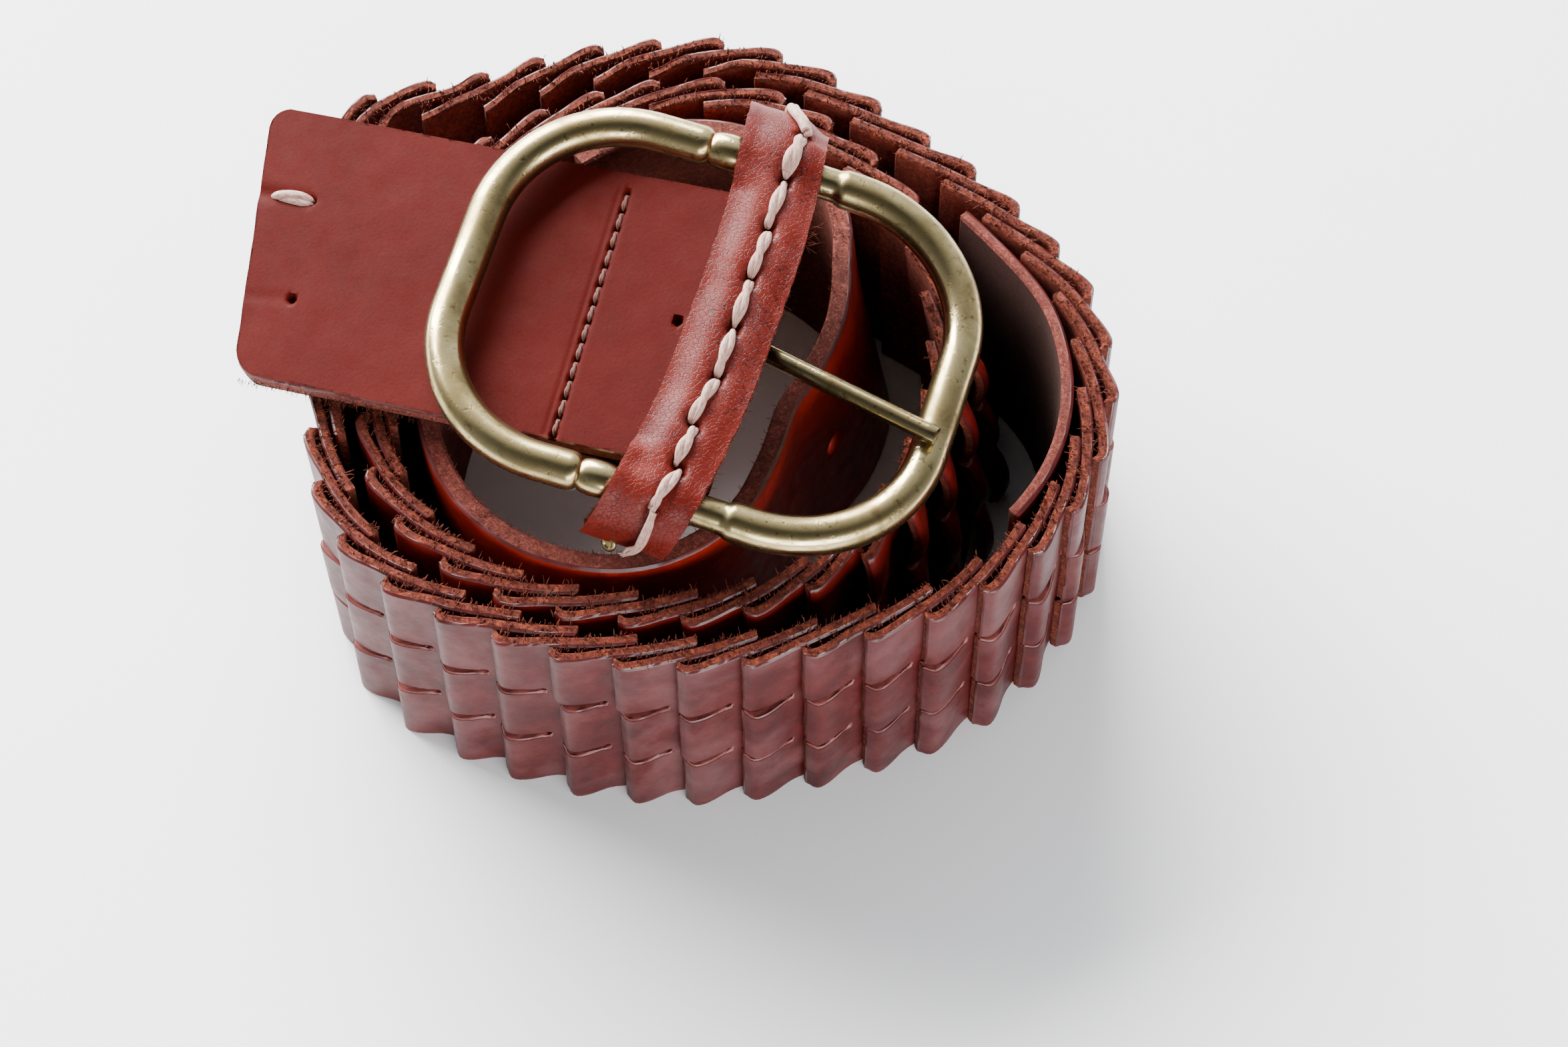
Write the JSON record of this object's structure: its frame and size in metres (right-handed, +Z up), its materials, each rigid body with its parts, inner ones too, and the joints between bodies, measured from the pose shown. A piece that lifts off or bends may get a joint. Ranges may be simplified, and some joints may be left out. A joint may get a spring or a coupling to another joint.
{
  "type": "braided belt",
  "caption": "Coiled leather belt of overlapping plates standing on edge, with its folded end, oval centre-bar buckle and hinged prong lying on top of the coil.",
  "frame": {"origin": "middle of the bounding box's bottom face, on the surface that the coil's edges stand on", "axes": "+Z up, away from the surface; the buckle's open end points to +X and the picture is taken from -Y and above"},
  "size_m": [0.1102, 0.0932, 0.0545],
  "materials": {
    "braid": "waxed, worn, raw cut edges",
    "strap": "smooth waxed grain",
    "brass": "antique, tarnished"
  },
  "bodies": {
    "belt": {"braid_outer": "braid", "braid_inner": "braid", "inner_strap": "strap", "billet": "strap", "tab": "strap", "wrap": "strap", "buckle_frame": "brass"},
    "prong": {"prong": "brass"}
  },
  "joints": [
    {"name": "prong_hinge", "type": "hinge", "parent": "belt", "child": "prong", "pos_m": [0.00569, -0.00291, 0.04506], "axis": [-0.2956, -0.9514, -0.0862], "range_deg": [0, 16]}
  ]
}
